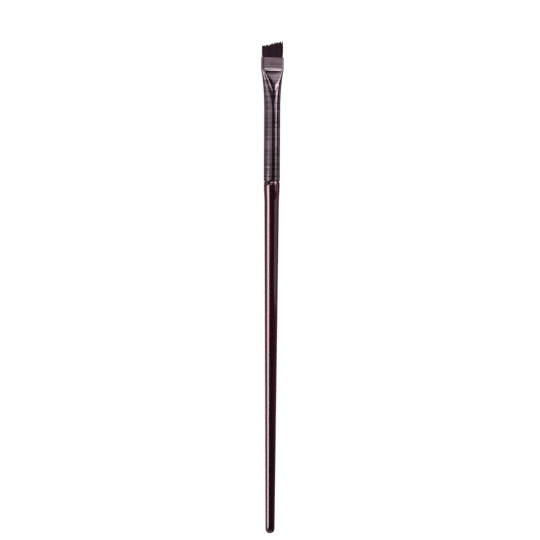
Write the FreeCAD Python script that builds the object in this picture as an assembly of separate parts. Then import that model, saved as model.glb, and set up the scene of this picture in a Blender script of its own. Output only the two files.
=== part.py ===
import FreeCAD, Part
import math
import os

# Angled eyeliner brush, lying on a table as it comes to rest.
# A long turned and lacquered wooden handle is glued into a seamless aluminium ferrule.
# The ferrule is a round tube pressed flat at its mouth, where it grips a flat tuft of
# synthetic filament that is cut on the slant. Resin poured in from behind holds the tuft.
# All sizes are millimetres. The brush is built along +Y with its axis at the origin: Y is 0
# at the ferrule's rear rim, the tuft points to +Y, its width runs along X and its long side
# is at +X. At the end the whole brush is tipped and lifted onto the table, at Z = 0.

# Ferrule: a round tube, pressed flat at the mouth
ferrule_length = 42.5
ferrule_diameter = 5.6
ferrule_wall = 0.25
land_length = 4.5          # flat land behind the mouth
land_thickness = 1.7       # across the two pressed faces
press_length = 14.7        # from the crease back to where the tube is still round
press_fade = 2.6           # power of the curve from flat to round
press_stretch = 1.02       # girth at the land over girth of the round tube
land_face_angle = 2.0      # half the arc of a pressed face, degrees: a slight crown
round_face_angle = 45.0    # the same where the tube is round, a quarter of the circle
crease_reach = 0.2         # half the length over which the crease turns
rim_radius = 0.05          # rounding of the cut rims

# Handle: turned wood with a tenon that goes into the ferrule
handle_length = 121.5      # from the ferrule's rear rim to the rounded end
seat_diameter = 5.3        # flat of the shoulder, against the ferrule's rim
shoulder_diameter = 5.52   # thickest place
shoulder_length = 1.1      # over which the shoulder rounds down to its seat
neck_diameter = 5.06
neck_distance = 8.0        # from the rim to where the swelling has run out
swell_fullness = 0.4       # share of the swelling along which each end keeps its direction
end_diameter = 3.2         # of the ball that closes the handle
tenon_length = 15.0
tenon_chamfer = 0.4
glue_gap = 0.04            # film of glue round the tenon

# Tuft: filaments drawn together inside the ferrule, spread and chisel-shaped outside
tuft_long_side = 6.0       # outside the mouth, at +X
tuft_short_side = 4.1      # outside the mouth, at -X
tuft_spread = 0.14         # how far each edge stands out past the edge of the bundle
belly_thickness = 1.34     # thickest place, just outside the mouth
belly_height = 1.8         # above the mouth
tip_thickness = 0.5
tuft_root_radius = 1.66    # of the bundle where the ferrule is still round
packing_gap = 0.03         # between the bundle and the pressed wall
lock_start = 0.2           # behind the mouth, where the filaments begin to part
lock_pitch = 0.3           # one lock of filaments beside the next
lock_depth = 0.07          # groove between two locks
tip_notch = 0.28           # notch between two tips
tip_scatter = 0.16         # how unevenly the locks end
scatter_turn = 2.4         # radians by which the scatter moves on from tip to tip

# Resin plug behind and round the root of the tuft
tuft_embedded = 2.5        # length of the root held in resin
plug_distance = 2.5        # from the end of the tenon
plug_length = 5.0
plug_dish = 0.35           # depth of the dished rear face
plug_lip = 0.2             # flat lip round the dish

# How closely the pressed shape is followed, and allowances of the construction
crease_steps = 4
sleeve_steps = 20
sleeve_bunching = 1.3      # above 1, the sections stand closer together near the crease
cut_past = 1.0             # how far a cutting shape runs past what it cuts
same_place = 1e-6

axis_direction = FreeCAD.Vector(0, 1, 0)
up_direction = FreeCAD.Vector(0, 0, 1)

ferrule_radius = ferrule_diameter / 2
bore_radius = ferrule_radius - ferrule_wall
mouth_y = ferrule_length
crease_y = mouth_y - land_length
land_half = land_thickness / 2
land_girth = math.pi * ferrule_diameter * press_stretch
plug_rear_y = tenon_length + plug_distance
plug_front_y = plug_rear_y + plug_length
tuft_butt_y = plug_front_y - tuft_embedded
end_radius = end_diameter / 2
end_centre_y = end_radius - handle_length


# The section of a pressed tube has two wide faces and two round sides, drawn as four arcs
# that meet in tangents. The two radii follow from the girth, as a tube keeps its girth when
# it is pressed flat, or from the width of a bundle that spreads freely.
def radii_from_girth(half_thickness, girth, face_angle):
    angle = math.radians(face_angle)
    rise = 1 - math.cos(angle)
    side_share = math.pi / 2 - angle - angle * math.cos(angle) / rise
    side_radius = (girth / 4 - angle * half_thickness / rise) / side_share
    face_radius = (half_thickness - side_radius * math.cos(angle)) / rise
    return face_radius, side_radius


def radii_from_width(half_thickness, half_width, face_angle):
    sine = math.sin(math.radians(face_angle))
    cosine = math.cos(math.radians(face_angle))
    across = sine * cosine - (1 - sine) * (1 - cosine)
    face_radius = (half_width * cosine - half_thickness * (1 - sine)) / across
    side_radius = (half_thickness * sine - half_width * (1 - cosine)) / across
    return face_radius, side_radius


def half_width_of(radii, face_angle):
    face_radius, side_radius = radii
    return (face_radius - side_radius) * math.sin(math.radians(face_angle)) + side_radius


def oval_wire(y, half_thickness, girth, face_angle):
    radii = radii_from_girth(half_thickness, girth, face_angle)
    angle = math.radians(face_angle)
    half_width = half_width_of(radii, face_angle)
    joint_x = radii[0] * math.sin(angle)
    joint_z = half_thickness - radii[0] * (1 - math.cos(angle))

    def arc(*places):
        return Part.Arc(*[FreeCAD.Vector(x, y, z) for x, z in places]).toShape()

    top = arc((-joint_x, joint_z), (0, half_thickness), (joint_x, joint_z))
    right = arc((joint_x, joint_z), (half_width, 0), (joint_x, -joint_z))
    bottom = arc((joint_x, -joint_z), (0, -half_thickness), (-joint_x, -joint_z))
    left = arc((-joint_x, -joint_z), (-half_width, 0), (-joint_x, joint_z))
    return Part.Wire([top, right, bottom, left])


# Distance behind the crease: 0 on the land, and turned smoothly within the crease itself
def behind_crease(y):
    distance = crease_y - y
    if distance <= -crease_reach:
        return 0.0
    if distance >= crease_reach:
        return distance
    return (distance + crease_reach) ** 2 / (4 * crease_reach)


# The section at y of anything that the press has shaped
def pressed_wire(y, round_radius, half_thickness, girth):
    along = min(behind_crease(y) / press_length, 1.0)
    pressed = (1 - along) ** press_fade
    round_girth = 2 * math.pi * round_radius
    return oval_wire(
        y,
        round_radius + (half_thickness - round_radius) * pressed,
        round_girth + (girth - round_girth) * pressed,
        land_face_angle + (round_face_angle - land_face_angle) * along**2,
    )


# A solid that is round at its rear and pressed flat at its front
def pressed_solid(rear_y, front_y, round_radius, half_thickness, girth):
    def wire(y):
        return pressed_wire(y, round_radius, half_thickness, girth)

    def prism(start_y, end_y):
        return Part.Face(wire(start_y)).extrude(axis_direction * (end_y - start_y))

    stations = []
    for step in range(crease_steps + 1):
        stations.append(crease_y + crease_reach * (1 - 2 * step / crease_steps))
    for step in range(1, sleeve_steps + 1):
        share = (step / sleeve_steps) ** sleeve_bunching
        stations.append(crease_y - crease_reach - (press_length - crease_reach) * share)
    sleeve = Part.makeLoft([wire(y) for y in stations], True, True)
    rear = prism(rear_y, stations[-1])
    land = prism(stations[0], front_y)
    return rear.fuse([sleeve, land]).removeSplitter()


# The space inside the ferrule
def make_bore():
    return pressed_solid(
        -cut_past,
        mouth_y + cut_past,
        bore_radius,
        land_half - ferrule_wall,
        land_girth - 2 * math.pi * ferrule_wall,
    )


def make_ferrule():
    outside = pressed_solid(0, mouth_y, ferrule_radius, land_half, land_girth)
    tube = outside.cut(make_bore())

    def on_a_rim(edge):
        y = edge.CenterOfMass.y
        return min(abs(y), abs(y - mouth_y)) < same_place

    return tube.makeFillet(rim_radius, [edge for edge in tube.Edges if on_a_rim(edge)])


# Turned about the axis. The profile is drawn with the radius along X.
def make_handle():
    def point(y, radius):
        return FreeCAD.Vector(radius, y, 0)

    # Tenon and seat
    tenon_radius = bore_radius - glue_gap
    corners = [
        point(-handle_length, 0),
        point(tenon_length, 0),
        point(tenon_length, tenon_radius - tenon_chamfer),
        point(tenon_length - tenon_chamfer, tenon_radius),
        point(0, tenon_radius),
        point(0, seat_diameter / 2),
    ]

    # Shoulder: an arc that ends level at the thickest place
    shoulder_rise = (shoulder_diameter - seat_diameter) / 2
    shoulder_curve = (shoulder_length**2 + shoulder_rise**2) / (2 * shoulder_rise)
    half_turn = math.asin(shoulder_length / shoulder_curve) / 2
    shoulder_top = point(-shoulder_length, shoulder_diameter / 2)
    shoulder_middle = shoulder_top + point(
        shoulder_curve * math.sin(half_turn),
        shoulder_curve * (math.cos(half_turn) - 1),
    )

    # Straight taper from the neck, tangent to the ball at the end
    neck = point(-neck_distance, neck_diameter / 2)
    to_end = -neck_distance - end_centre_y
    taper = math.atan2(neck.x, to_end) - math.asin(end_radius / math.hypot(to_end, neck.x))

    def on_ball(turned):
        return point(
            end_centre_y - end_radius * math.sin(turned),
            end_radius * math.cos(turned),
        )

    ball_start = on_ball(taper)
    ball_middle = on_ball((taper + math.pi / 2) / 2)

    # The swelling leaves the shoulder level and runs into the taper
    swell_reach = (neck_distance - shoulder_length) * swell_fullness
    swell = Part.BezierCurve()
    swell.setPoles(
        [
            shoulder_top,
            shoulder_top - point(swell_reach, 0),
            neck + point(swell_reach, swell_reach * math.tan(taper)),
            neck,
        ]
    )

    edges = [Part.makeLine(start, end) for start, end in zip(corners, corners[1:])]
    edges += [
        Part.Arc(corners[-1], shoulder_middle, shoulder_top).toShape(),
        swell.toShape(),
        Part.makeLine(neck, ball_start),
        Part.Arc(ball_start, ball_middle, corners[0]).toShape(),
    ]
    profile = Part.Face(Part.Wire(edges))
    return profile.revolve(FreeCAD.Vector(0, 0, 0), axis_direction, 360)


# The bundle where the ferrule grips it, a little smaller than the space inside
grip_half = land_half - ferrule_wall - packing_gap
grip_girth = land_girth - 2 * math.pi * (ferrule_wall + packing_gap)


# The stretch of a solid that lies between two places along the axis
def stretch_of(solid, rear_y, front_y):
    start = FreeCAD.Vector(0, rear_y, 0)
    slab = Part.makeCylinder(ferrule_diameter, front_y - rear_y, start, axis_direction)
    return solid.common(slab)


def make_tuft_root():
    bundle = pressed_solid(0, mouth_y, tuft_root_radius, grip_half, grip_girth)
    return stretch_of(bundle, tuft_butt_y, mouth_y - lock_start)


# An oval with a crown and a groove for each lock of filaments, evenly spaced from the
# middle of the upper face
def lock_wire(y, half_thickness, radii, locks):
    face_radius, side_radius = radii
    angle = math.radians(land_face_angle)
    side_x = (face_radius - side_radius) * math.sin(angle)
    face_z = half_thickness - face_radius
    arcs = [
        (0, face_z, face_radius, 0, angle),
        (side_x, 0, side_radius, angle, math.pi - angle),
        (0, -face_z, face_radius, math.pi - angle, math.pi + angle),
        (-side_x, 0, side_radius, math.pi + angle, 2 * math.pi - angle),
        (0, face_z, face_radius, -angle, 0),
    ]
    girth = sum(radius * (end - start) for x, z, radius, start, end in arcs)

    points = []
    for step in range(2 * locks):
        length = girth * step / (2 * locks)
        for centre_x, centre_z, radius, start, end in arcs:
            if length <= radius * (end - start):
                break
            length -= radius * (end - start)
        turned = start + length / radius
        reach = radius - lock_depth * (step % 2)
        points.append(
            FreeCAD.Vector(
                centre_x + reach * math.sin(turned),
                y,
                centre_z + reach * math.cos(turned),
            )
        )
    return Part.makePolygon(points + points[:1])


# The space above the slanted cut, with one tip for each lock and none quite level
def make_trimmed_space(half_width):
    tips = round(2 * half_width / lock_pitch)
    pitch = 2 * half_width / tips
    rise = (tuft_long_side - tuft_short_side) / (tips - 1)
    high_y = mouth_y + tuft_long_side
    top_y = high_y + cut_past
    side_x = half_width + pitch

    outline = [(-side_x, top_y)]
    for tip in range(tips):
        x = pitch * (tip + 0.5) - half_width
        y = mouth_y + tuft_short_side + rise * tip
        scatter = (1 - math.cos(scatter_turn * (tips - 1 - tip))) / 2
        outline.append((x - pitch / 2, y - rise / 2 - tip_notch))
        outline.append((x, y - tip_scatter * scatter))
    outline.append((half_width, high_y - tip_notch))
    outline.append((side_x, high_y - tip_notch))
    outline.append((side_x, top_y))

    corners = [FreeCAD.Vector(x, y, -ferrule_radius) for x, y in outline + outline[:1]]
    return Part.Face(Part.makePolygon(corners)).extrude(up_direction * ferrule_diameter)


def make_tuft():
    locks = round(grip_girth / lock_pitch)
    grip_radii = radii_from_girth(grip_half, grip_girth, land_face_angle)
    spread_half = half_width_of(grip_radii, land_face_angle) + tuft_spread
    inner_half = grip_half - packing_gap
    inner_girth = grip_girth - 2 * math.pi * packing_gap
    belly_half = belly_thickness / 2
    tip_half = tip_thickness / 2

    def spread_wire(height, half_thickness):
        radii = radii_from_width(half_thickness, spread_half, land_face_angle)
        return lock_wire(mouth_y + height, half_thickness, radii, locks)

    inner_radii = radii_from_girth(inner_half, inner_girth, land_face_angle)
    wires = [
        lock_wire(mouth_y - lock_start, inner_half, inner_radii, locks),
        lock_wire(mouth_y, grip_half, grip_radii, locks),
        spread_wire(belly_height, belly_half),
        spread_wire(tuft_long_side, tip_half),
    ]
    brush = Part.makeLoft(wires, True, True).cut(make_trimmed_space(spread_half))
    return make_tuft_root().fuse(brush)


# The resin takes the shape of the bore and of the root that stands in it
def make_glue_plug():
    plug = stretch_of(make_bore(), plug_rear_y, plug_front_y)
    dish_radius = bore_radius - plug_lip
    dish_curve = (dish_radius**2 + plug_dish**2) / (2 * plug_dish)
    dish_centre = FreeCAD.Vector(0, plug_rear_y + plug_dish - dish_curve, 0)
    dish = Part.makeSphere(dish_curve, dish_centre)
    return plug.cut([dish, make_tuft_root()])


# The brush lies on the ferrule's rear rim and on the ball at the end of the handle
def rest_tilt():
    rim_centre_y = rim_radius
    rim_drop = ferrule_radius - rim_radius
    apart = rim_centre_y - end_centre_y
    reach = math.hypot(rim_drop, apart)
    return math.acos((end_radius - rim_radius) / reach) - math.atan2(apart, rim_drop)


# Tipped and lifted onto the table, with the origin under the middle of the brush
def lay_down(shape):
    tilt = rest_tilt()
    rear = end_centre_y * math.cos(tilt) - end_radius
    front = (mouth_y + tuft_long_side) * math.cos(tilt)
    lift = end_radius - end_centre_y * math.sin(tilt)
    place = FreeCAD.Matrix()
    place.rotateX(tilt)
    place.move(FreeCAD.Vector(0, -(rear + front) / 2, lift))
    return shape.transformed(place, copy=True)


os.makedirs("parts", exist_ok=True)
pieces = {
    "handle": make_handle(),
    "ferrule": make_ferrule(),
    "tuft": make_tuft(),
    "glue_plug": make_glue_plug(),
}
for name, piece in pieces.items():
    lay_down(piece).exportStep(f"parts/{name}.step")
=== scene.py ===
import math
import random

import bpy
from mathutils import Matrix, Vector


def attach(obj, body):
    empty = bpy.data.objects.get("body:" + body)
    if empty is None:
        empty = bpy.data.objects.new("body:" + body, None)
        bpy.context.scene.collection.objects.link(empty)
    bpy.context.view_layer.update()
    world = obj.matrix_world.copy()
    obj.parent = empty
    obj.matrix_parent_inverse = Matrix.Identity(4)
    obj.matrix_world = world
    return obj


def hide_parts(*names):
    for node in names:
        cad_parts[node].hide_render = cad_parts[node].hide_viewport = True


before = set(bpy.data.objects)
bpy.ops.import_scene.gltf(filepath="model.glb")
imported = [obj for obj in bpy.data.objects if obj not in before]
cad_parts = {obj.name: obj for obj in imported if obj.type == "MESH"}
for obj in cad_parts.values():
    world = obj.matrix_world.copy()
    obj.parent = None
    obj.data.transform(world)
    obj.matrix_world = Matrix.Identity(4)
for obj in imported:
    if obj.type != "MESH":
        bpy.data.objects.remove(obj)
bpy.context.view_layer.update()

# Handle: birch dowel turned to a long taper, with a tenon that goes into the ferrule. It is
# dipped in black cherry lacquer with a fine metallic flake and then in clear gloss. Its outline
# is drawn as radii along the axis and spun, and the handle is then laid down as on a table.
mm = 0.001
handle_length = 121.5 * mm
end_radius = 1.6 * mm
neck_radius = 2.53 * mm
neck_distance = 8.0 * mm
shoulder_radius = 2.76 * mm
shoulder_length = 1.4 * mm
seat_radius = 2.54 * mm
tenon_radius = 2.51 * mm
tenon_length = 15.0 * mm
tenon_chamfer = 0.4 * mm
swell_fullness = 0.4
lacquer_rounding = 0.02 * mm
shoulder_steps = 8
swell_steps = 24
taper_steps = 40
ball_steps = 16
turned_sides = 128
merge_distance = 0.001 * mm
handle_smooth_angle = math.radians(28)

# What settles how the brush lies, along with the ball at the end of the handle
ferrule_radius = 2.8 * mm
rim_break = 0.05 * mm
tuft_tip = 48.5 * mm


# The brush lies on the ferrule's rear rim and on the ball at the end of the handle
def resting_place():
    ball_centre = end_radius - handle_length
    apart = rim_break - ball_centre
    reach = math.hypot(ferrule_radius, apart)
    tilt = math.acos(end_radius / reach) - math.atan2(apart, ferrule_radius)
    rear = ball_centre * math.cos(tilt) - end_radius
    front = tuft_tip * math.cos(tilt)
    lift = end_radius - ball_centre * math.sin(tilt)
    return Matrix.Translation((0, -(rear + front) / 2, lift)) @ Matrix.Rotation(tilt, 4, "X")


def lay_down(piece):
    piece.data.transform(resting_place())
    piece.data.update()


def only(piece):
    bpy.ops.object.select_all(action="DESELECT")
    piece.select_set(True)
    bpy.context.view_layer.objects.active = piece


def finish_piece(piece, material, node):
    piece.data.materials.append(material)
    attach(piece, "root")
    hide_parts(node)


def shares(count):
    return [step / count for step in range(1, count + 1)]


# Each point of the outline is a place along the axis and the radius there. The seat against
# the ferrule is at 0, the tenon in front of it and the rest of the handle behind it.
def tenon_points():
    return [
        (tenon_length, 0.0),
        (tenon_length, tenon_radius - tenon_chamfer),
        (tenon_length - tenon_chamfer, tenon_radius),
        (0.0, tenon_radius),
        (0.0, seat_radius - lacquer_rounding),
    ]


def shoulder_points():
    rise = shoulder_radius - seat_radius
    curve = (shoulder_length**2 + rise**2) / (2 * rise)
    turn = math.asin(shoulder_length / curve)
    points = [(-lacquer_rounding, seat_radius + lacquer_rounding * math.tan(turn))]
    for share in shares(shoulder_steps):
        angle = turn * (1 - share)
        points.append((
            curve * math.sin(angle) - shoulder_length,
            shoulder_radius - curve * (1 - math.cos(angle)),
        ))
    return points


def swelling_points(taper):
    run = (neck_distance - shoulder_length) * swell_fullness
    poles = [
        Vector((-shoulder_length, shoulder_radius)),
        Vector((-shoulder_length - run, shoulder_radius)),
        Vector((-neck_distance + run, neck_radius + run * math.tan(taper))),
        Vector((-neck_distance, neck_radius)),
    ]
    points = []
    for share in shares(swell_steps):
        rest = 1 - share
        point = (
            poles[0] * rest**3
            + poles[1] * 3 * rest**2 * share
            + poles[2] * 3 * rest * share**2
            + poles[3] * share**3
        )
        points.append((point.x, point.y))
    return points


def taper_points(taper):
    ball_start = end_radius * math.cos(taper)
    ball_start_y = end_radius - handle_length - end_radius * math.sin(taper)
    return [
        (
            -neck_distance + (ball_start_y + neck_distance) * share,
            neck_radius + (ball_start - neck_radius) * share,
        )
        for share in shares(taper_steps)
    ]


def ball_points(taper):
    points = []
    for share in shares(ball_steps)[:-1]:
        angle = taper + (math.pi / 2 - taper) * share
        points.append((
            end_radius - handle_length - end_radius * math.sin(angle),
            end_radius * math.cos(angle),
        ))
    return points + [(-handle_length, 0.0)]


def handle_outline():
    taper_run = handle_length - end_radius - neck_distance
    taper = math.atan2(neck_radius, taper_run) - math.asin(
        end_radius / math.hypot(taper_run, neck_radius)
    )
    return (
        tenon_points()
        + shoulder_points()
        + swelling_points(taper)
        + taper_points(taper)
        + ball_points(taper)
    )


def turned(name, outline):
    mesh = bpy.data.meshes.new(name)
    edges = [(place, place + 1) for place in range(len(outline) - 1)]
    mesh.from_pydata([(radius, y, 0.0) for y, radius in outline], edges, [])
    piece = bpy.data.objects.new(name, mesh)
    bpy.context.scene.collection.objects.link(piece)
    only(piece)
    bpy.ops.object.mode_set(mode="EDIT")
    bpy.ops.mesh.select_all(action="SELECT")
    bpy.ops.mesh.spin(
        steps=turned_sides, angle=2 * math.pi, center=(0, 0, 0), axis=(0, 1, 0)
    )
    bpy.ops.mesh.select_all(action="SELECT")
    bpy.ops.mesh.remove_doubles(threshold=merge_distance)
    bpy.ops.mesh.normals_make_consistent(inside=False)
    bpy.ops.object.mode_set(mode="OBJECT")
    bpy.ops.object.shade_smooth_by_angle(angle=handle_smooth_angle)
    return piece


# A socket that takes part in arithmetic, and the finish that its nodes belong to
class Signal:
    def __init__(self, finish, socket):
        self.finish = finish
        self.socket = socket

    def maths(self, operation, first, second):
        return self.finish.node("ShaderNodeMath", {"operation": operation}, {0: first, 1: second})

    def __add__(self, other):
        return self.maths("ADD", self, other)

    def __radd__(self, other):
        return self.maths("ADD", other, self)

    def __sub__(self, other):
        return self.maths("SUBTRACT", self, other)

    def __rsub__(self, other):
        return self.maths("SUBTRACT", other, self)

    def __mul__(self, other):
        return self.maths("MULTIPLY", self, other)

    def __rmul__(self, other):
        return self.maths("MULTIPLY", other, self)


class Finish:
    def __init__(self, name):
        self.material = bpy.data.materials.new(name)
        self.material.use_nodes = True
        self.tree = self.material.node_tree
        self.tree.nodes.clear()

    def node(self, kind, settings=None, values=None, output=0):
        made = self.tree.nodes.new(kind)
        for name, setting in (settings or {}).items():
            setattr(made, name, setting)
        for socket, value in (values or {}).items():
            if isinstance(value, Signal):
                self.tree.links.new(value.socket, made.inputs[socket])
            else:
                made.inputs[socket].default_value = value
        return Signal(self, made.outputs[output]) if made.outputs else None

    # Streaks or grains: how many there are to a metre along each axis of the object
    def pattern(self, per_metre, detail=2.0, roughness=0.5):
        place = self.node("ShaderNodeTexCoord", output="Object")
        spread = self.node(
            "ShaderNodeMapping", {"vector_type": "POINT"}, {"Vector": place, "Scale": per_metre}
        )
        return self.node(
            "ShaderNodeTexNoise",
            {"noise_dimensions": "3D"},
            {"Vector": spread, "Scale": 1.0, "Detail": detail, "Roughness": roughness},
        )

    # Rises smoothly from 0 at the low value to 1 at the high one
    def between(self, low, high, share):
        return self.node(
            "ShaderNodeMapRange",
            {"interpolation_type": "SMOOTHSTEP"},
            {"Value": share, "From Min": low, "From Max": high, "To Min": 0.0, "To Max": 1.0},
        )

    # The colour sockets of a Mix node are its inputs 6 and 7 and its output 2
    def blend(self, share, first, second):
        first, second = (
            (*colour, 1.0) if isinstance(colour, tuple) else colour for colour in (first, second)
        )
        return self.node(
            "ShaderNodeMix",
            {"data_type": "RGBA", "blend_type": "MIX"},
            {0: share, 6: first, 7: second},
            output=2,
        )

    def relief(self, height, depth, normal=None):
        values = {"Height": height, "Strength": 1.0, "Distance": depth}
        if normal is not None:
            values["Normal"] = normal
        return self.node("ShaderNodeBump", values=values)

    def surface(self, **values):
        named = {name.replace("_", " "): value for name, value in values.items()}
        shader = self.node("ShaderNodeBsdfPrincipled", values=named)
        self.node("ShaderNodeOutputMaterial", values={"Surface": shader})
        return self.material


lacquer = Finish("black_cherry_lacquer")
grain = lacquer.pattern((1400.0, 45.0, 1400.0), detail=3.0)
cloud = lacquer.pattern((260.0, 30.0, 260.0), detail=2.0)
flake = lacquer.pattern((2600.0, 2600.0, 2600.0), detail=2.0)
orange_peel = lacquer.pattern((420.0, 120.0, 420.0), detail=1.5)
relief_depth = 0.012 * mm
depth_of_colour = lacquer.between(0.40, 0.62, grain * 0.25 + cloud * 0.2 + flake * 0.55)

# The clear coat is full where it faces the eye, weak on the flanks and partly back at the edges
facing = lacquer.node("ShaderNodeLayerWeight", values={"Blend": 0.5}, output="Facing")
flank = lacquer.between(0.27, 0.44, facing)
edge = lacquer.between(0.50, 0.68, facing)
lacquer_material = lacquer.surface(
    Base_Color=lacquer.blend(depth_of_colour, (0.011, 0.0007, 0.0027), (0.052, 0.0026, 0.0120)),
    Metallic=1.0,
    Roughness=0.25 + lacquer.between(0.45, 0.75, flake) * 0.08,
    Specular_Tint=(0.55, 0.03, 0.11, 1.0),
    Coat_Weight=1.0 - flank * 0.93 + edge * 0.36,
    Coat_Roughness=0.035,
    Coat_IOR=1.46,
    Normal=lacquer.relief(flake, relief_depth, lacquer.relief(orange_peel, relief_depth)),
)
handle = turned("lacquered_handle", handle_outline())
lay_down(handle)
finish_piece(handle, lacquer_material, "handle")

# Ferrule: seamless aluminium tube, brushed ring-wise, anodised dark plum, and pressed flat at
# its mouth. It starts as a round tube drawn ring by ring. The press then moves each point in
# the plane of its ring and leaves the girth as it was, but for a small stretch at the mouth.
ferrule_wall = 0.25 * mm
mouth_y = 42.5 * mm
crease_y = 38.15 * mm
crease_reach = 0.34 * mm
land_half = 0.85 * mm
press_length = 14.85 * mm
press_fade = 2.65
press_stretch = 1.02
land_face_angle = math.radians(2.0)
round_face_angle = math.radians(45.0)
ring_sides = 160
rim_ring = 0.12 * mm
barrel_rings = 12
scoop_rings = 60
scoop_crowding = 1.25
crease_rings = 12
land_rings = 10
rim_segments = 3
rim_angle = math.radians(60)
ferrule_smooth_angle = math.radians(40)


# A pressed section is an oval of four arcs, two faces and two sides, each tangent to the next.
# The share of its girth runs from the middle of the top to the right and round.
def pressed_place(share, half_thickness, girth, face_angle):
    rise = 1 - math.cos(face_angle)
    side_share = math.pi / 2 - face_angle - face_angle * math.cos(face_angle) / rise
    side_radius = (girth / 4 - face_angle * half_thickness / rise) / side_share
    face_radius = (half_thickness - side_radius * math.cos(face_angle)) / rise
    quarter = share * 4
    turn = int(quarter) % 4
    along = (quarter - int(quarter)) * girth / 4
    if turn % 2:
        along = girth / 4 - along
    if along < face_radius * face_angle:
        angle = along / face_radius
        x = face_radius * math.sin(angle)
        z = half_thickness - face_radius * (1 - math.cos(angle))
    else:
        angle = face_angle + (along - face_radius * face_angle) / side_radius
        x = (face_radius - side_radius) * math.sin(face_angle) + side_radius * math.sin(angle)
        z = side_radius * math.cos(angle)
    return (x if turn < 2 else -x), (z if turn in (0, 3) else -z)


# How far the tube is pressed at a place along it, and half the angle of its faces' arcs there
def pressed_amount(y):
    behind_crease = crease_y - y
    if behind_crease <= -crease_reach:
        behind_crease = 0.0
    elif behind_crease < crease_reach:
        behind_crease = (behind_crease + crease_reach) ** 2 / (4 * crease_reach)
    along = min(behind_crease / press_length, 1.0)
    face_angle = land_face_angle + (round_face_angle - land_face_angle) * along**2
    return (1 - along) ** press_fade, face_angle


def press(vertex):
    x, y, z = vertex.co
    pressed, face_angle = pressed_amount(y)
    half_thickness = ferrule_radius + (land_half - ferrule_radius) * pressed
    girth = 2 * math.pi * ferrule_radius * (1 + (press_stretch - 1) * pressed)
    share = (math.atan2(x, z) / (2 * math.pi)) % 1.0
    vertex.co.x, vertex.co.z = pressed_place(share, half_thickness, girth, face_angle)


def ring_stations():
    press_start = crease_y - press_length
    crease_start = crease_y - crease_reach
    crease_end = crease_y + crease_reach
    stations = [0.0, rim_ring]
    stations += [press_start * share for share in shares(barrel_rings)]
    stations += [
        press_start + (crease_start - press_start) * (1 - (1 - share) ** scoop_crowding)
        for share in shares(scoop_rings)
    ]
    stations += [crease_start + 2 * crease_reach * share for share in shares(crease_rings)]
    stations += [crease_end + (mouth_y - crease_end) * share for share in shares(land_rings)[:-1]]
    return stations + [mouth_y - rim_ring, mouth_y]


def drawn_tube(name, radius, stations):
    bpy.ops.object.select_all(action="DESELECT")
    bpy.ops.mesh.primitive_circle_add(
        vertices=ring_sides, radius=radius, fill_type="NOTHING", rotation=(math.pi / 2, 0, 0)
    )
    tube = bpy.context.object
    tube.name = name
    bpy.ops.object.transform_apply(location=False, rotation=True, scale=True)
    bpy.ops.object.mode_set(mode="EDIT")
    bpy.ops.mesh.select_all(action="SELECT")
    for here, there in zip(stations, stations[1:]):
        bpy.ops.mesh.extrude_region_move(TRANSFORM_OT_translate={"value": (0, there - here, 0)})
    bpy.ops.mesh.select_all(action="SELECT")
    bpy.ops.mesh.normals_make_consistent(inside=False)
    bpy.ops.object.mode_set(mode="OBJECT")
    return tube


ferrule = drawn_tube("pressed_ferrule", ferrule_radius, ring_stations())
for vertex in ferrule.data.vertices:
    press(vertex)
wall = ferrule.modifiers.new("wall", "SOLIDIFY")
wall.thickness = ferrule_wall
wall.offset = -1.0
wall.use_even_offset = True
rims = ferrule.modifiers.new("rims", "BEVEL")
rims.width = rim_break
rims.segments = rim_segments
rims.limit_method = "ANGLE"
rims.angle_limit = rim_angle
only(ferrule)
for modifier in ("wall", "rims"):
    bpy.ops.object.modifier_apply(modifier=modifier)
bpy.ops.object.shade_smooth_by_angle(angle=ferrule_smooth_angle)
lay_down(ferrule)

plum = Finish("plum_anodised_aluminium")
fine_lines = plum.pattern((110.0, 9000.0, 110.0), detail=3.0, roughness=0.6)
broad_lines = plum.pattern((70.0, 2200.0, 70.0), detail=2.0)
stain = plum.pattern((350.0, 350.0, 350.0), detail=2.0)
lines = fine_lines * 0.4 + broad_lines * 0.6
line_depth = 0.002 * mm
anodised = plum.blend(
    plum.between(0.36, 0.60, lines * 0.85 + stain * 0.15),
    (0.022, 0.015, 0.019),
    (0.088, 0.063, 0.075),
)

# Painted highlight: the colour turns light along the crease across each flat face, where the
# crease catches the light
crease_highlight_half = 0.22 * mm
crease_highlight_edge = 0.36 * mm
crease_highlight_half_width = 2.8 * mm
crease_highlight_edge_width = 3.3 * mm
crease_highlight_middle = crease_y + 0.4 * crease_reach
on_ferrule = plum.node("ShaderNodeTexCoord", output="Object")
along_ferrule = plum.node("ShaderNodeSeparateXYZ", values={"Vector": on_ferrule}, output="Y")
across_ferrule = plum.node("ShaderNodeSeparateXYZ", values={"Vector": on_ferrule}, output="X")
from_middle_line = along_ferrule - (resting_place() @ Vector((0, crease_highlight_middle, land_half))).y
across_in_mm = across_ferrule * (1 / mm)
# A band of lighter colour along the crease: a painted highlight
painted_crease_highlight = (
    plum.between(-crease_highlight_edge, -crease_highlight_half, from_middle_line)
    - plum.between(crease_highlight_half, crease_highlight_edge, from_middle_line)
)
on_face = 1.0 - plum.between(
    (crease_highlight_half_width / mm) ** 2, (crease_highlight_edge_width / mm) ** 2, across_in_mm * across_in_mm
)
plum_material = plum.surface(
    # The base colour holds the painted highlight along the crease
    Base_Color=plum.blend(painted_crease_highlight * on_face, anodised, (0.42, 0.37, 0.39)),
    Metallic=1.0,
    Roughness=0.09 + plum.between(0.3, 0.7, broad_lines) * 0.05,
    Specular_Tint=(0.43, 0.39, 0.42, 1.0),
    Normal=plum.relief(lines, line_depth),
)
finish_piece(ferrule, plum_material, "ferrule")

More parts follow.
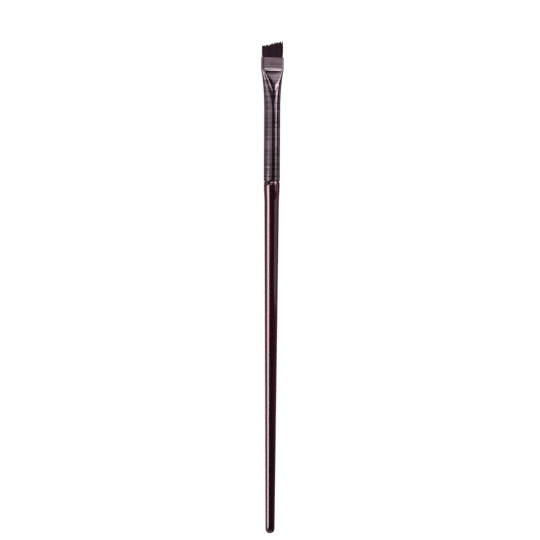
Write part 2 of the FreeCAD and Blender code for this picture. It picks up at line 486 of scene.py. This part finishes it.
# Tuft: synthetic filaments, dyed dark plum and drawn to a fine point at their tips. They are
# packed into the mouth of the ferrule, spread a little outside it, and close up to a chisel
# that is cut on the slant. One tapered filament is modelled, and set in place many times.
filament_radius = 0.047 * mm
filament_sides = 4
grip_half = 0.55 * mm
grip_half_width = 3.70 * mm
spread_half_width = 3.84 * mm
belly_half = 0.64 * mm
belly_height = 1.8 * mm
tip_half = 0.20 * mm
outermost = 0.995
edge_power = 14
long_side = tuft_tip - mouth_y
short_side = 4.1 * mm
root_depth = 1.2 * mm

# The filaments stand in rows, and each second row stands half a column over
filament_pitch = filament_radius * 1.75
filament_rows = 13
filament_columns = round(2 * grip_half_width / filament_pitch)
row_shift = 0.5
row_jitter = 0.25
column_jitter = 0.3

# The locks part at a place across the tuft, from -1 to 1, and to a depth
parting_width = 0.045
parting_slant = 0.03
partings = (
    (-0.86, 0.30 * mm), (-0.66, 0.62 * mm), (-0.50, 0.35 * mm), (-0.33, 0.70 * mm),
    (-0.15, 0.40 * mm), (0.10, 0.66 * mm), (0.33, 0.34 * mm), (0.55, 0.60 * mm),
    (0.70, 0.32 * mm), (0.87, 0.95 * mm),
)
lock_unevenness = 0.10 * mm

# How the filaments differ: how far they fall short of the cut, how thick they are and how
# they lean, sway and wave
even_share = 0.85
even_shortfall = (0.0, 0.12 * mm)
ragged_shortfall = (0.1 * mm, 0.6 * mm)
thin_share = 0.1
thinness = 0.25
lean_reach = 0.05 * mm
sway_reach = 0.03 * mm
wave_reach = 0.012 * mm
wave_bend = 5.0
wave_start = 40.0
own_shade = 0.45
shared_shade = 0.55

filament_stations = (0.0, 0.2, 0.45, 0.72, 0.9, 1.0)
filament_taper = (1.0, 1.0, 1.0, 0.85, 0.55, 0.16)
chance = random.Random(7)


def one_filament():
    bpy.ops.object.select_all(action="DESELECT")
    bpy.ops.mesh.primitive_circle_add(
        vertices=filament_sides, radius=1.0, fill_type="NGON", rotation=(math.pi / 2, 0, 0)
    )
    filament = bpy.context.object
    bpy.ops.object.transform_apply(location=False, rotation=True, scale=True)
    bpy.ops.object.mode_set(mode="EDIT")
    bpy.ops.mesh.select_all(action="SELECT")
    rings = list(zip(filament_stations, filament_taper))
    for (here, here_size), (there, there_size) in zip(rings, rings[1:]):
        bpy.ops.mesh.extrude_region_move(TRANSFORM_OT_translate={"value": (0, there - here, 0)})
        size = there_size / here_size
        bpy.ops.transform.resize(value=(size, 1.0, size), center_override=(0.0, there, 0.0))
    bpy.ops.mesh.select_all(action="SELECT")
    bpy.ops.mesh.normals_make_consistent(inside=False)
    bpy.ops.object.mode_set(mode="OBJECT")
    points = [tuple(vertex.co) for vertex in filament.data.vertices]
    faces = [tuple(face.vertices) for face in filament.data.polygons]
    bpy.data.objects.remove(filament)
    return points, faces


# Half the thickness and half the width of the bundle at a height above the mouth
def bundle_at(height):
    if height < 0:
        return grip_half, grip_half_width
    if height < belly_height:
        share = math.sin(height / belly_height * math.pi / 2)
        return (
            grip_half + (belly_half - grip_half) * share,
            grip_half_width + (spread_half_width - grip_half_width) * share,
        )
    share = (height - belly_height) / (long_side - belly_height)
    return belly_half + (tip_half - belly_half) * share, spread_half_width


def rounded_edge(across):
    return math.sqrt(max(0.0, 1 - abs(across) ** edge_power))


def cut_height(across):
    return (long_side + short_side) / 2 + (long_side - short_side) / 2 * across


def notch_depth(place):
    return max(
        depth * math.exp(-((place - parting) / parting_width) ** 2) for parting, depth in partings
    )


# Where the lock of filaments at a place ends, measured from the cut, and its shade
def lock_at(place):
    lock_chance = random.Random(sum(parting < place for parting, _ in partings))
    return lock_chance.uniform(-lock_unevenness, 0.0), lock_chance.random()


# The points of the filament that stands in a row and a column, and its shade
def set_in_place(pattern_points, row, column):
    column_place = column + row_shift * (row % 2) + chance.uniform(-column_jitter, column_jitter)
    across = column_place / (filament_columns - row_shift) * 2 - 1
    across = max(-outermost, min(outermost, across))
    row_place = row + chance.uniform(-row_jitter, row_jitter)
    through = row_place / (filament_rows - 1) * 2 - 1
    through = max(-1.0, min(1.0, through)) * rounded_edge(across)
    place = across + parting_slant * through
    lock_end, lock_shade = lock_at(place)
    kind = chance.random()
    shorter = chance.uniform(*(even_shortfall if kind < even_share else ragged_shortfall))
    lean = chance.uniform(-lean_reach, lean_reach)
    sway = chance.uniform(-sway_reach, sway_reach)
    length = root_depth + cut_height(across) + lock_end - shorter - notch_depth(place)
    thickness = filament_radius * (1 - thinness if kind < thin_share else 1.0)
    points = []
    for x, y, z in pattern_points:
        height = y * length - root_depth
        half, half_width = bundle_at(height)
        bend = max(0.0, height) / long_side
        wave = math.sin(bend * wave_bend + kind * wave_start) * wave_reach
        points.append((
            across * (half_width - filament_radius) + lean * bend**2 + x * thickness + wave,
            mouth_y + height,
            through * (half - filament_radius) + sway * bend**2 + z * thickness,
        ))
    return points, own_shade * kind + shared_shade * lock_shade


def tuft_of_filaments(name):
    pattern_points, pattern_faces = one_filament()
    points, faces, shades, heights = [], [], [], []
    for row in range(filament_rows):
        for column in range(filament_columns):
            start = len(points)
            filament_points, shade = set_in_place(pattern_points, row, column)
            points += filament_points
            faces += [tuple(start + corner for corner in face) for face in pattern_faces]
            shades += [shade] * len(pattern_points)
            heights += [y for _, y, _ in pattern_points]
    mesh = bpy.data.meshes.new(name)
    mesh.from_pydata(points, [], faces)
    mesh.attributes.new("shade", "FLOAT", "POINT").data.foreach_set("value", shades)
    mesh.attributes.new("height", "FLOAT", "POINT").data.foreach_set("value", heights)
    piece = bpy.data.objects.new(name, mesh)
    bpy.context.scene.collection.objects.link(piece)
    only(piece)
    bpy.ops.object.shade_smooth()
    return piece


filaments = Finish("dark_plum_filament")
filament_shade, filament_height = (
    filaments.node(
        "ShaderNodeAttribute", {"attribute_name": name, "attribute_type": "GEOMETRY"}, output="Fac"
    )
    for name in ("shade", "height")
)
body_colour = filaments.blend(filament_shade, (0.006, 0.002, 0.005), (0.034, 0.011, 0.026))
tip_share = filaments.between(0.82, 1.0, filament_height + filament_shade * 0.06)
filament_material = filaments.surface(
    Base_Color=filaments.blend(tip_share, body_colour, (0.030, 0.007, 0.010)),
    Roughness=0.45 + filament_shade * 0.16,
    Specular_IOR_Level=0.10,
)
tuft = tuft_of_filaments("filament_tuft")
lay_down(tuft)
finish_piece(tuft, filament_material, "tuft")

# Resin plug: poured in behind the root of the tuft while the ferrule stands on its mouth, and
# left to set with a dished face. It is out of sight in the bore and stays as it was built.
resin = Finish("amber_resin")
bubble_depth = 0.02 * mm
bubbles = resin.node(
    "ShaderNodeTexVoronoi",
    {"feature": "F1"},
    {"Vector": resin.node("ShaderNodeTexCoord", output="Object"), "Scale": 2600.0},
    output="Distance",
)
haze = resin.pattern((600.0, 600.0, 600.0), detail=3.0)
resin_material = resin.surface(
    Base_Color=resin.blend(haze, (0.42, 0.29, 0.12), (0.60, 0.46, 0.24)),
    Roughness=0.22 + haze * 0.2,
    Normal=resin.relief(resin.between(0.0, 0.3, bubbles), bubble_depth),
)
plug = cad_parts["glue_plug"]
plug.data.materials.clear()
plug.data.materials.append(resin_material)

# Table and wall of the studio: a smooth pale sheet under the brush and a low round wall far
# away. Both show white to the camera and in gloss, and the sheet keeps the brush's shadow.
table_radius = 6.0
table_sides = 96
wall_height = 1.2
glow_starts = 0.5
glow_full = 2.6
paper = Finish("pale_paper")
fibres = paper.pattern((900.0, 900.0, 900.0), detail=2.0)
paper_colour = paper.blend(fibres, (0.52, 0.52, 0.523), (0.54, 0.54, 0.54))
lit = paper.node("ShaderNodeBsdfDiffuse", values={"Color": paper_colour, "Roughness": 0.5})
from_middle = paper.node(
    "ShaderNodeVectorMath",
    {"operation": "LENGTH"},
    {0: paper.node("ShaderNodeTexCoord", output="Object")},
    output="Value",
)
glow_colour = paper.blend(
    paper.between(glow_starts, glow_full, from_middle), (0.72, 0.72, 0.72), (1.0, 1.0, 1.0)
)
glow = paper.node("ShaderNodeEmission", values={"Color": glow_colour, "Strength": 1.0})
both = paper.node("ShaderNodeAddShader", values={0: lit, 1: glow})
seen = paper.node("ShaderNodeLightPath", output="Is Camera Ray")
in_gloss = paper.node("ShaderNodeLightPath", output="Is Glossy Ray")
in_glass = paper.node("ShaderNodeLightPath", output="Is Transmission Ray")
shown = paper.node("ShaderNodeMixShader", values={0: seen + in_gloss + in_glass, 1: lit, 2: both})
paper.node("ShaderNodeOutputMaterial", values={"Surface": shown})


def studio_circle(name, fill):
    bpy.ops.object.select_all(action="DESELECT")
    bpy.ops.mesh.primitive_circle_add(vertices=table_sides, radius=table_radius, fill_type=fill)
    circle = bpy.context.object
    circle.name = name
    circle.data.materials.append(paper.material)


studio_circle("studio_table", "NGON")
studio_circle("studio_wall", "NOTHING")
bpy.ops.object.mode_set(mode="EDIT")
bpy.ops.mesh.select_all(action="SELECT")
bpy.ops.mesh.extrude_region_move(TRANSFORM_OT_translate={"value": (0, 0, wall_height)})
bpy.ops.object.mode_set(mode="OBJECT")

# Studio light: softboxes round the brush, which show as stripes in its gloss, in a dim room.
# Two stand on the left, three on the right and three beyond the tuft, and a broad weak one
# behind keeps the back of the brush from going black.
brush_height = 3.0 * mm
world = bpy.data.worlds.new("dim_studio")
bpy.context.scene.world = world
world.use_nodes = True
room = world.node_tree.nodes["Background"].inputs
room["Color"].default_value = (0.9, 0.9, 1.0, 1.0)
room["Strength"].default_value = 0.12


# A softbox faces a place along the brush, from a direction turned from the vertical to the
# right and then tipped towards the tuft. A lamp spreads its watts over four times its area.
def softbox(name, radiance, to_right, across, along, middle_y, colour, to_tuft=0.0, distance=1.3):
    sideways = math.radians(to_right)
    tuftward = math.radians(to_tuft)
    direction = Vector((
        math.sin(sideways) * math.cos(tuftward),
        math.sin(tuftward),
        math.cos(sideways) * math.cos(tuftward),
    ))
    lamp = bpy.data.lights.new(name, "AREA")
    lamp.shape = "RECTANGLE"
    lamp.size = across
    lamp.size_y = along
    lamp.energy = radiance * 4 * across * along
    lamp.color = colour
    box = bpy.data.objects.new(name, lamp)
    bpy.context.scene.collection.objects.link(box)
    box.visible_camera = False
    box.location = direction * distance + Vector((0, middle_y, brush_height))
    along_axis = (Vector((0, 1, 0)) - direction * direction.y).normalized()
    across_axis = along_axis.cross(direction)
    box.rotation_euler = Matrix((across_axis, along_axis, direction)).transposed().to_euler()


softbox(
    "left_softbox", radiance=13.5, to_right=-72.5,
    across=0.66, along=0.33, middle_y=-0.115, colour=(1.0, 1.0, 1.0),
)
softbox(
    "left_ferrule_box", radiance=2.2, to_right=-46.0,
    across=1.30, along=0.12, middle_y=0.12, colour=(1.0, 0.98, 1.0),
)
softbox(
    "right_softbox", radiance=9.0, to_right=41.5,
    across=0.42, along=0.275, middle_y=0.2125, colour=(1.0, 0.97, 1.0),
)
softbox(
    "right_inner_box", radiance=3.0, to_right=17.5,
    across=0.30, along=0.09, middle_y=0.165, colour=(1.0, 0.96, 0.99),
)
softbox(
    "right_handle_box", radiance=0.9, to_right=55.0,
    across=1.30, along=0.12, middle_y=0.0, colour=(1.0, 0.90, 0.94),
)
softbox(
    "far_strip", radiance=12.0, to_right=41.0, to_tuft=19.0, distance=1.45,
    across=0.88, along=0.19, middle_y=0.055, colour=(1.0, 0.98, 1.0),
)
softbox(
    "far_strip_left", radiance=10.0, to_right=-20.0, to_tuft=19.0, distance=1.45,
    across=1.1, along=0.16, middle_y=0.055, colour=(1.0, 1.0, 1.0),
)
softbox(
    "scoop_box", radiance=3.6, to_right=35.0, to_tuft=29.0, distance=1.5,
    across=0.92, along=0.26, middle_y=0.0745, colour=(1.0, 0.97, 0.99),
)
softbox(
    "rear_softbox", radiance=1.2, to_right=0.0, to_tuft=-62.0, distance=1.9,
    across=2.4, along=1.1, middle_y=0.0, colour=(1.0, 1.0, 1.0),
)

# Camera: a long lens that looks down from a little to the left of straight above. Its picture
# is turned a touch, so that the brush leans as it does in the photo.
view_from_left = math.radians(17.0)
picture_turn = math.radians(0.13)
frame_width = 185.9 * mm
lens = 200.0
sensor = 36.0
target = Vector((-0.61 * mm, 5.8 * mm, 2.86 * mm))
back = Vector((-math.sin(view_from_left), 0, math.cos(view_from_left)))
level_right = Vector((math.cos(view_from_left), 0, math.sin(view_from_left)))
level_up = Vector((0, 1, 0))
right = level_right * math.cos(picture_turn) + level_up * math.sin(picture_turn)
up = level_up * math.cos(picture_turn) - level_right * math.sin(picture_turn)
camera_data = bpy.data.cameras.new("camera")
camera_data.lens = lens
camera_data.sensor_width = sensor
camera_data.clip_start = 0.01
camera_data.clip_end = 50.0
camera = bpy.data.objects.new("camera", camera_data)
bpy.context.scene.collection.objects.link(camera)
camera.location = target + back * (frame_width * lens / sensor)
camera.rotation_euler = Matrix((right, up, back)).transposed().to_euler()
bpy.context.scene.camera = camera
bpy.context.scene.view_settings.view_transform = "Standard"
